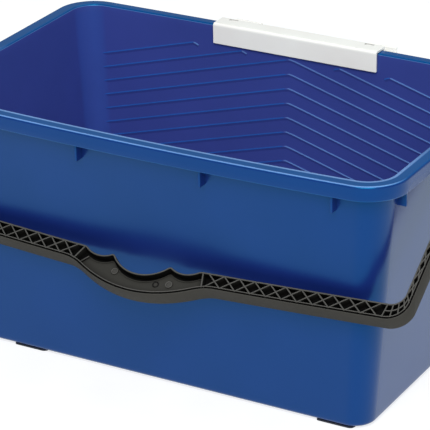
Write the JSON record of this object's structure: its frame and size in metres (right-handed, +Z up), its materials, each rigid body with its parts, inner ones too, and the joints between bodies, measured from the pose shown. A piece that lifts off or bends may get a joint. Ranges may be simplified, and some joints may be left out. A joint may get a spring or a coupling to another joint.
{
  "type": "paint roller scuttle",
  "caption": "Deep moulded paint roller tub with a chevron-ridged roll-off wall, swinging lattice bail handle on push-in pins, saddle clip on the back rim, and foot pads.",
  "frame": {"origin": "on the surface the foot pads stand on, under the middle of the whole object's bounding box (handle and clip hooks included)", "axes": "+X to the right along the long side, -Y towards the front wall that the handle rests on, +Z up"},
  "size_m": [0.4256, 0.2898, 0.2111],
  "materials": {
    "tub_blue": "glossy moulded polypropylene",
    "handle_black": "satin moulded plastic",
    "clip_white": "semi-gloss moulded plastic",
    "foot_rubber": "matt"
  },
  "bodies": {
    "tub_body": {"tub": "tub_blue", "left_pivot_pin": "handle_black", "right_pivot_pin": "handle_black", "foot_front_left": "foot_rubber", "foot_front_right": "foot_rubber", "foot_rear_left": "foot_rubber", "foot_rear_right": "foot_rubber"},
    "handle_body": {"bail_handle": "handle_black"},
    "clip_body": {"rim_clip": "clip_white"}
  },
  "joints": [
    {"name": "handle_swing", "type": "hinge", "parent": "tub_body", "child": "handle_body", "pos_m": [0, -0.0041, 0.189], "axis": [-1, 0, 0], "range_deg": [0, 200]},
    {"name": "clip_lift", "type": "slide", "parent": "tub_body", "child": "clip_body", "axis": [0, 0, 1], "range_m": [0, 0.06]}
  ]
}
